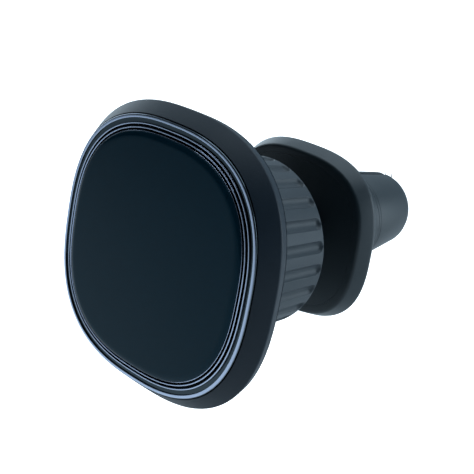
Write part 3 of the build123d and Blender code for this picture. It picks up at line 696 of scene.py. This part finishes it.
class MOUNT_OT_trim_ring(bpy.types.Operator):
    """Make the polished bead, the shallow band and the fine ridges beside the panel"""

    bl_idname = "mount.trim_ring"
    bl_label = "Trim Ring"

    def execute(self, context):
        head = settings().head
        base, _ = span("trim_ring", USER)
        outer = half_width("trim_ring") - head.trim_inset
        bore = half_width("face_panel") + 0.08 * MM
        band = span("head_bezel", USER)[1]
        bead = band + head.bead_rise
        inside = outer - head.bead_width
        round_over = 0.46 * head.bead_width
        corners = [
            (outer, base, 0),
            (outer, bead, round_over),
            (inside, bead, round_over),
            (inside, band, 0.06 * MM),
        ]
        place = inside - head.band_width
        corners.append((place, band - 0.04 * MM, 0.06 * MM))
        groove = band - head.groove_sink
        for part, rise in RIDGES:
            top = band + rise * head.crest_rise
            width = part * head.crest_width
            foot = place - width
            edge = 0.45 * width
            corners += [(place, top, edge), (foot, top, edge), (foot, groove, 0.04 * MM)]
            place = max(foot - part * head.crest_gap, bore)
            corners.append((place, groove, 0.04 * MM))
        corners[-1] = (bore, corners[-1][1], 0)
        corners.append((bore, base, 0))
        mesh = loft_round(rounded(corners, steps=7), HEAD, head_shape, segments=320)
        self.mark_crests(mesh, band, head.bead_rise)
        settle(as_object("trim_ring_polished_painted_light", mesh, finish_of("trim"), 60), "head", "trim", "trim_ring")
        return {"FINISHED"}

    def mark_crests(self, mesh, band, rise):
        """Store how high each point stands over the band; the finish paints highlights on the crests and
        shade in the grooves from it.
        """
        layer = mesh.verts.layers.float.new("crest")
        for vertex in mesh.verts:
            vertex[layer] = ((vertex.co - BALL).dot(USER) - band) / rise


class MOUNT_OT_head_shell(bpy.types.Operator):
    """Make the sloped bezel and the domed back cover with its screw recesses"""

    bl_idname = "mount.head_shell"
    bl_label = "Head Shells"

    def execute(self, context):
        self.bezel()
        self.cover()
        return {"FINISHED"}

    def bezel(self):
        head = settings().head
        seam, top = span("head_bezel", USER)
        half = half_width("head_bezel") - 0.04 * MM
        web_top = span("panel_tape", USER)[0]
        web = web_top - head.web
        inner = half_width("trim_ring") - head.trim_inset + head.fit
        seam_half = half - head.seam_inset
        corners = [
            (seam_half, seam, 0.12 * MM),
            (half, seam + head.side_height, head.side_round),
            (inner + 0.1 * MM, top, head.slope_round),
            (inner, top - 0.2 * MM, 0.1 * MM),
            (inner, web_top, 0),
            (0.7 * inner, web_top, 0),
            (0.7 * inner, web, 0),
            (seam_half - head.wall, web, 0.3 * MM),
            (seam_half - head.wall, seam, 0.08 * MM),
        ]
        mesh = loft_round(rounded(corners, steps=8), HEAD, head_shape, segments=256)
        settle(as_object("bezel", mesh, finish_of("shell")), "head", "shell", "head_bezel")

    def cover(self):
        head = settings().head
        back = span("back_cover", USER)[0]
        seam = span("head_bezel", USER)[0]
        floor = span("socket_boss", USER)[1] - head.cover_floor
        hole = head.cover_hole
        seam_half = half_width("head_bezel") - head.seam_inset
        depth = seam - back
        bend = (seam_half - head.cover_slope * depth - head.cover_back_half) / depth**2
        corners = [(hole, floor, 0), (hole, back, 0.2 * MM), (head.cover_back_half, back, 0.5 * MM)]
        steps = 18
        for i in range(1, steps + 1):
            behind = depth * (1 - i / steps)
            half = seam_half - head.cover_slope * behind - bend * behind**2
            corners.append((half, seam - behind, 0))
        corners += [
            (seam_half - head.wall, seam, 0.08 * MM),
            (seam_half - head.wall - head.floor_inset, floor, 0.5 * MM),
        ]

        def shape(half, height):
            return (2.0 if half < 1.05 * hole else head.power), 1.0

        mesh = loft_round(rounded(corners), HEAD, shape, segments=256)
        cover = as_object("domed_cover", mesh, finish_of("shell"), 30)
        self.cut_recesses(cover, head, back)
        settle(cover, "head", "shell", "back_cover")

    def cut_recesses(self, cover, head, back):
        """Four round recesses down to the screws' seats."""
        tool = bmesh.new()
        low = back - 2 * MM
        for x in (-head.screw_from_axis, head.screw_from_axis):
            for y in (-head.screw_from_axis, head.screw_from_axis):
                middle = HEAD @ Matrix.Translation((x, y, (low + head.screw_seat) / 2))
                bmesh.ops.create_cone(
                    tool,
                    cap_ends=True,
                    segments=48,
                    radius1=head.screw_recess,
                    radius2=head.screw_recess,
                    depth=head.screw_seat - low,
                    matrix=middle,
                )
        cutter = as_object("recess_tool", tool, finish_of("shell"))
        cut = cover.modifiers.new("recess", "BOOLEAN")
        cut.operation = "DIFFERENCE"
        cut.solver = "EXACT"
        cut.object = cutter
        bpy.context.view_layer.update()
        bake_modifiers(cover)
        shade(cover, 30)
        bpy.data.objects.remove(cutter)


# ---- the collar ------------------------------------------------------------------------


def soft_min(a, b, blend):
    """The smaller of two heights, rounded over where they meet."""
    overlap = max(blend - abs(a - b), 0) / blend
    return min(a, b) - overlap * overlap * blend / 4


class MOUNT_OT_lock_collar(bpy.types.Operator):
    """Make one sector of the fluted collar and turn it round the head's axis"""

    bl_idname = "mount.lock_collar"
    bl_label = "Locking Collar"

    def execute(self, context):
        collar = settings().collar
        rear, front = span("lock_collar", USER)
        sector = radians(360 / collar.flutes)
        rod = (collar.flute_width**2 / 4 + collar.flute_depth**2) / (2 * collar.flute_depth)
        stop = rear + collar.flute_stop + rod
        taper = tan(collar.draft)
        across = self.columns()
        rows = self.rows(collar, rear, front, stop, taper)
        mesh = bmesh.new()
        grid = []
        for radius, height, outside in rows:
            axis_at = radius - collar.flute_depth + rod
            beyond = max(stop - height, 0)
            edge = asin(min(collar.flute_width / 2 / radius, 1))
            line = []
            for place in across:
                if abs(place) <= 0.5:
                    angle = 2 * place * edge
                else:
                    angle = edge + (abs(place) - 0.5) * 2 * (sector / 2 - edge)
                    angle = angle if place > 0 else -angle
                room = rod**2 - beyond**2 - (axis_at * sin(angle)) ** 2
                here = radius
                if outside and room > 0 and beyond < rod:
                    groove = axis_at * cos(angle) - sqrt(room)
                    here = soft_min(radius, groove, collar.edge)
                line.append(mesh.verts.new((here * cos(angle), here * sin(angle), height)))
            grid.append(line)
        for line, after in zip(grid, grid[1:] + grid[:1]):
            for i in range(len(across) - 1):
                mesh.faces.new([line[i], line[i + 1], after[i + 1], after[i]])
        bmesh.ops.recalc_face_normals(mesh, faces=mesh.faces)
        made = as_object("fluted_collar", mesh, finish_of("collar"))
        run_tree(
            made,
            turned_array(),
            Count=collar.flutes,
            Place=HEAD.to_translation(),
            Turn=HEAD.to_euler(),
            Weld=0.004 * MM,
            Material=finish_of("collar"),
        )
        self.face_outwards(made)
        settle(made, "collar", "collar", "lock_collar")
        return {"FINISHED"}

    def columns(self):
        """Places across a sector, close together at the groove's two edges."""
        half = [0.0, 0.12, 0.24, 0.34, 0.42, 0.47, 0.49, 0.5, 0.51, 0.53, 0.57, 0.68, 0.84, 1.0]
        return [-place for place in half[:0:-1]] + half

    def rows(self, collar, rear, front, stop, taper):
        """(radius, height, outside) round the section, from the front edge to the bore."""
        side = lambda height: collar.rear_radius + (height - rear) * taper
        rim = collar.rim_round
        heights = [front - 0.25 * MM - i * 0.9 * MM for i in range(ceil((front - stop) / (0.9 * MM)))]
        heights = [height for height in heights if height > stop + 0.3 * MM]
        close = 0.16 * MM
        fine_top = stop + 0.2 * MM
        fine = [fine_top - i * close for i in range(int((fine_top - rear - rim) / close))]
        outer = [(side(front) - 0.25 * MM, front, False)]
        outer += [(side(height), height, True) for height in heights + fine]
        for i in range(7):
            turn = radians(90 * i / 6)
            drop = rim * (1 - sin(turn))
            outer.append((side(rear + rim) - rim + rim * cos(turn), rear + drop, False))
        inner = rounded(
            [
                (collar.mouth + 0.6 * MM, rear, 0),
                (collar.mouth, rear, 0.4 * MM),
                (collar.throat, -collar.shoulder, 0.15 * MM),
                (collar.bore, -collar.shoulder, 0.1 * MM),
                (collar.bore, front, 0.25 * MM),
                (side(front) - 0.6 * MM, front, 0),
            ],
            closed=False,
        )
        return outer + [(radius, height, False) for radius, height in inner]

    def face_outwards(self, made):
        mesh = bmesh.new()
        mesh.from_mesh(made.data)
        bmesh.ops.recalc_face_normals(mesh, faces=mesh.faces)
        mesh.to_mesh(made.data)
        mesh.free()
        shade(made)


# ---- pieces of the clip ----------------------------------------------------------------


BACK_LIP = 0.5 * MM  # inset of the waist behind the pad's widest edge


class MOUNT_OT_vent_pad(bpy.types.Operator):
    """Make the soft cover from its front edge to the waist before the jaws"""

    bl_idname = "mount.vent_pad"
    bl_label = "Vent Pad"

    def execute(self, context):
        clip = settings().clip
        front, end = span("vent_pad", VENT)
        back = front + clip.side_depth
        wide = half_width("vent_pad")
        stub = stub_radius()
        core = stub - clip.waist_wall
        floor = front + clip.plate_depth

        def narrowing(height):
            place = min(max((height - back) / (end - back), 0), 1)
            return (1 - place) ** clip.waist_curve

        def shape(half, height):
            part = narrowing(height)
            return 2 + (clip.pad_power - 2) * part, 1 + (clip.pad_aspect - 1) * part

        corners = [
            (clip.plate_half, front, 0.02 * MM),
            (clip.pad_front_half, front, clip.front_round),
            (wide, back - 0.8 * BACK_LIP, clip.back_round),
        ]
        steps = 30
        for i in range(1, steps + 1):
            height = back + (end - back) * i / steps
            corners.append((stub + (wide - BACK_LIP - stub) * narrowing(height), height, 0))
        corners[-1] = (stub, end, 0.2 * MM)
        corners.append((core, end, 0.1 * MM))
        for i in range(12, 0, -1):
            height = floor + (end - floor) * (i - 1) / 12
            place = 1 - (i - 1) / 12
            corners.append((core + (clip.core_front - core) * place**clip.waist_curve, height, 0))
        corners.append((clip.plate_half, floor, 0))
        mesh = loft_round(rounded(corners, steps=8), CLIP, shape, segments=256)
        settle(as_object("soft_vent_pad", mesh, finish_of("skin")), "clip", "skin", "vent_pad")
        return {"FINISHED"}


def stub_radius():
    """Radius of the clip's waist where the jaws start."""
    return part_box("jaw_skin_right")[1].x


def round_section(half, height):
    return 2.0, 1.0


def keep_side(mesh, side):
    """Cut away what lies past one wall of the slit."""
    bmesh.ops.bisect_plane(
        mesh,
        geom=mesh.verts[:] + mesh.edges[:] + mesh.faces[:],
        plane_co=(side * settings().clip.slit / 2, 0, 0),
        plane_no=(-side, 0, 0),
        clear_outer=True,
    )


def prism(ends):
    """A closed bmesh between two equal outlines."""
    mesh = bmesh.new()
    first, last = ([mesh.verts.new(point) for point in end] for end in ends)
    mesh.faces.new(first)
    mesh.faces.new(last[::-1])
    for i in range(len(first)):
        j = (i + 1) % len(first)
        mesh.faces.new([first[j], first[i], last[i], last[j]])
    bmesh.ops.recalc_face_normals(mesh, faces=mesh.faces)
    return mesh


class MOUNT_OT_jaws(bpy.types.Operator):
    """Make the jaws' soft skins and the ribbed grips inside the slit"""

    bl_idname = "mount.jaws"
    bl_label = "Jaws"

    def execute(self, context):
        for side, hand in ((-1, "left"), (1, "right")):
            self.skin(side, hand)
            self.boot(side, hand)
            self.grip(side, hand)
        return {"FINISHED"}

    def nose(self, inset):
        """Corners of the round nose, from its open front to the axis at the tip."""
        clip = settings().clip
        front, tip = span("jaw_skin_right", VENT)
        radius = stub_radius()
        draft = clip.jaw_draft_radius - inset
        return [
            (radius - inset, front, 0),
            (draft, tip - clip.tip_depth - 0.6 * inset, 3 * MM),
            (clip.tip_radius + 0.55 * (draft - clip.tip_radius), tip - 0.55 * MM - inset, 1.2 * MM),
            (0.8 * clip.tip_radius, tip - inset, 3 * MM),
            (0, tip - inset, 0),
        ]

    def skin(self, side, hand):
        clip = settings().clip
        outer = rounded(self.nose(0), closed=False, steps=8)
        inner = rounded(self.nose(clip.skin), closed=False, steps=5)
        mesh = loft_round(inner[::-1] + outer, CLIP, round_section, 120, closed=False)
        keep_side(mesh, side)
        rim = [edge for edge in mesh.edges if edge.is_boundary]
        bmesh.ops.contextual_create(mesh, geom=rim)
        bmesh.ops.recalc_face_normals(mesh, faces=mesh.faces)
        made = as_object(f"jaw_cover_{hand}", mesh, finish_of("skin"), 30)
        bevel = made.modifiers.new("edge", "BEVEL")
        bevel.width = clip.slit_edge
        bevel.segments = 3
        bevel.limit_method = "ANGLE"
        bevel.angle_limit = radians(50)
        bevel.use_clamp_overlap = False
        bpy.context.view_layer.update()
        bake_modifiers(made)
        shade(made, 45)
        settle(made, f"jaw_{hand}", "skin", f"jaw_skin_{hand}")

    def boot(self, side, hand):
        """The thin part of the skin between the waist and a jaw, where the real skin bends; here it is a
        fixed mesh.
        """
        clip = settings().clip
        start = span("vent_pad", VENT)[1]
        end = span("jaw_skin_right", VENT)[0]
        radius = stub_radius() - clip.boot_sink
        steps = 6
        outer = [Vector((radius, start + (end - start) * i / steps)) for i in range(steps + 1)]
        inner = [Vector((radius - 0.6 * clip.skin, point.y)) for point in outer[::-1]]
        mesh = loft_round(outer + inner, CLIP, round_section, 120)
        keep_side(mesh, side)
        bmesh.ops.holes_fill(mesh, edges=[edge for edge in mesh.edges if edge.is_boundary])
        bmesh.ops.recalc_face_normals(mesh, faces=mesh.faces)
        made = as_object(f"boot_{hand}", mesh, finish_of("skin"), 30)
        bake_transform(made)

    def grip(self, side, hand):
        """A thin plate with ribs across it, each shorter than the last as the nose narrows."""
        clip = settings().clip
        low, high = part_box(f"jaw_pad_{hand}")
        thick = high.x - low.x
        outer = high.x if side > 0 else low.x
        face = outer - side * 0.65 * thick
        low_skin, high_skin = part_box(f"jaw_skin_{hand}")
        front = high_skin.x if side > 0 else -low_skin.x
        reach_front = front - clip.skin - 0.25 * MM
        reach_tip = clip.jaw_draft_radius - clip.skin - 0.9 * MM
        depth = high.y - low.y
        outline = [(low.y, reach_front), (high.y - 0.12 * depth, reach_tip), (high.y, 0.75 * reach_tip)]
        outline += [(y, -z) for y, z in outline[::-1]]
        plate = prism([[(x, y, z) for y, z in outline] for x in (outer, face)])
        bmesh.ops.bevel(plate, geom=plate.edges[:], offset=0.1 * MM, segments=2, affect="EDGES")
        pad = as_object(f"grip_plate_{hand}", plate, finish_of("soft"))
        settle(pad, f"jaw_{hand}", "soft", f"jaw_pad_{hand}")
        pitch = depth / (clip.ribs + 0.6)
        height = 0.35 * thick
        section = rounded(
            [
                (0, 0, 0),
                (0.62 * pitch, 0, 0),
                (0.5 * pitch, height, 0.12 * MM),
                (0.12 * pitch, height, 0.12 * MM),
            ]
        )
        half = reach_front - 0.35 * MM
        base = low.y + 0.3 * pitch
        rib = prism(
            [[(face - side * rise, base + along, z) for along, rise in section] for z in (-half, half)]
        )
        made = as_object(f"grip_ribs_{hand}", rib, finish_of("soft"))
        run_tree(
            made,
            row_array(),
            Count=clip.ribs,
            Step=(0, pitch, 0),
            Last_Size=0.8 * reach_tip / half,
            Material=finish_of("soft"),
        )
        settle(made, f"jaw_{hand}", "soft")


# ---- carried-over nodes ----------------------------------------------------------------

CARRIED = {
    "tape": ["panel_tape"],
    "inner": ["magnet_carrier", "socket_boss", "seat_ring", "jaw_left", "jaw_right"],
    "skin": ["clip_base"],
    "magnet": ["magnets"],
    "steel": ["yoke_plate", "socket_screws", "jaw_pins", "jaw_spring"],
    "screw": ["head_screws"],
    "soft": ["ball_liner"],
    "slip": ["collar_washer"],
    "ball": ["ball_stud"],
    "brass": ["stud_insert"],
}


class MOUNT_OT_inner_parts(bpy.types.Operator):
    """Give the carried-over nodes their finishes"""

    bl_idname = "mount.inner_parts"
    bl_label = "Inner Parts"

    def execute(self, context):
        for finish, nodes in CARRIED.items():
            for node in nodes:
                slots = frame["nodes"][node].material_slots
                for slot in slots:
                    slot.material = finish_of(finish)
        return {"FINISHED"}


# ---- stage -----------------------------------------------------------------------------

SOFTBOXES = (
    ("overhead", (-0.02, 0.10, 0.42), 0.5),
    ("rear_right", (0.42, 0.30, 0.10), 0.34),
    ("left_side", (-0.36, 0.10, 0.10), 0.3),
)
SOFTBOX_TINT = (0.72, 0.88, 1.0)
ROOM_TINT = (0.62, 0.83, 1.0, 1)
ROOM_DIM, ROOM_BRIGHT = 0.018, 0.55
CAMERA_PLACE = Vector((0.11413, -0.17495, 0.06460))
CAMERA_RIGHT = Vector((0.7116, 0.6902, 0.1317))
CAMERA_UP = Vector((-0.3315, 0.1646, 0.9290))


class MOUNT_OT_stage(bpy.types.Operator):
    """Make the pale floor, the soft lights and the camera"""

    bl_idname = "mount.stage"
    bl_label = "Stage"

    def execute(self, context):
        scene = context.scene
        stage = settings().stage
        scene.view_settings.view_transform = "Standard"
        self.floor(stage)
        powers = (stage.top_power, stage.rear_power, stage.left_power)
        for (name, place, size), power in zip(SOFTBOXES, powers):
            self.softbox(name, place, size, power)
        self.world(scene)
        camera = bpy.data.cameras.new("studio_camera")
        camera.lens = stage.lens
        camera.sensor_width = 36
        camera.clip_start = 0.005
        camera.clip_end = 20
        eye = bpy.data.objects.new("studio_camera", camera)
        scene.collection.objects.link(eye)
        ahead = CAMERA_RIGHT.cross(CAMERA_UP)
        turn = Matrix((CAMERA_RIGHT, CAMERA_UP, ahead)).transposed()
        eye.matrix_world = Matrix.Translation(CAMERA_PLACE) @ turn.to_4x4()
        scene.camera = eye
        return {"FINISHED"}

    def floor(self, stage):
        level = CAD_BOX[0][2] - stage.drop
        mesh = bmesh.new()
        under = Matrix.Translation((0, 0, level))
        bmesh.ops.create_grid(mesh, x_segments=1, y_segments=1, size=3.0, matrix=under)
        material = bpy.data.materials.new("pale_floor")
        material.use_nodes = True
        surface = material.node_tree.nodes["Principled BSDF"]
        surface.inputs["Base Color"].default_value = (0.93, 0.93, 0.93, 1)
        surface.inputs["Roughness"].default_value = 0.9
        surface.inputs["Specular IOR Level"].default_value = 0.1
        surface.inputs["Emission Color"].default_value = (1, 1, 1, 1)
        tree = material.node_tree
        path = put(tree, "ShaderNodeLightPath")
        glow = put(
            tree, "ShaderNodeMapRange", Value=path.outputs["Is Camera Ray"], To_Max=stage.floor_glow
        )
        tree.links.new(glow.outputs[0], surface.inputs["Emission Strength"])
        as_object("floor", mesh, material)

    def softbox(self, name, place, size, power):
        light = bpy.data.lights.new(name, "AREA")
        light.shape = "SQUARE"
        light.size = size
        light.energy = power
        light.color = SOFTBOX_TINT
        lamp = bpy.data.objects.new(name, light)
        bpy.context.scene.collection.objects.link(lamp)
        lamp.visible_camera = False
        middle = (CAD_BOX[0] + CAD_BOX[1]) / 2
        lamp.location = place
        lamp.rotation_euler = (middle - Vector(place)).to_track_quat("-Z", "Y").to_euler()

    def world(self, scene):
        """Bright behind the object, dim in front of it, plain white to the camera."""
        world = bpy.data.worlds.new("studio")
        scene.world = world
        world.use_nodes = True
        tree = world.node_tree
        tree.nodes.clear()
        out = tree.nodes.new("ShaderNodeOutputWorld")
        where = put(tree, "ShaderNodeTexCoord")
        parts = put(tree, "ShaderNodeSeparateXYZ", Vector=where.outputs["Generated"])
        glow = put(
            tree,
            "ShaderNodeMapRange",
            interpolation_type="SMOOTHSTEP",
            Value=parts.outputs["Y"],
            From_Min=-0.5,
            From_Max=0.5,
            To_Min=ROOM_DIM,
            To_Max=ROOM_BRIGHT,
        )
        room = put(tree, "ShaderNodeBackground", Color=ROOM_TINT, Strength=glow.outputs[0])
        white = put(tree, "ShaderNodeBackground", Color=(1, 1, 1, 1), Strength=1.0)
        path = put(tree, "ShaderNodeLightPath")
        seen = path.outputs["Is Camera Ray"]
        mixed = put(tree, "ShaderNodeMixShader", Fac=seen, _1=room.outputs[0], _2=white.outputs[0])
        tree.links.new(mixed.outputs[0], out.inputs[0])


class MOUNT_PT_panel(bpy.types.Panel):
    """Lists the mount's pieces"""

    bl_idname = "MOUNT_PT_panel"
    bl_label = "Phone Mount"
    bl_space_type = "VIEW_3D"
    bl_region_type = "UI"
    bl_category = "Phone Mount"

    def draw(self, context):
        for piece in PIECES:
            self.layout.operator(piece.bl_idname)


PIECES = (
    MOUNT_OT_face_panel,
    MOUNT_OT_trim_ring,
    MOUNT_OT_head_shell,
    MOUNT_OT_lock_collar,
    MOUNT_OT_vent_pad,
    MOUNT_OT_jaws,
    MOUNT_OT_inner_parts,
    MOUNT_OT_stage,
)
GROUPS = (HeadSettings, CollarSettings, ClipSettings, FinishSettings, StageSettings, MountSettings)


def register():
    for kind in (*GROUPS, *PIECES, MOUNT_PT_panel):
        bpy.utils.register_class(kind)
    bpy.types.Scene.phone_mount = PointerProperty(type=MountSettings)


def unregister():
    del bpy.types.Scene.phone_mount
    for kind in reversed((*GROUPS, *PIECES, MOUNT_PT_panel)):
        bpy.utils.unregister_class(kind)


def main():
    register()
    for piece in PIECES:
        group, name = piece.bl_idname.split(".")
        getattr(getattr(bpy.ops, group), name)()


if __name__ == "__main__":
    main()
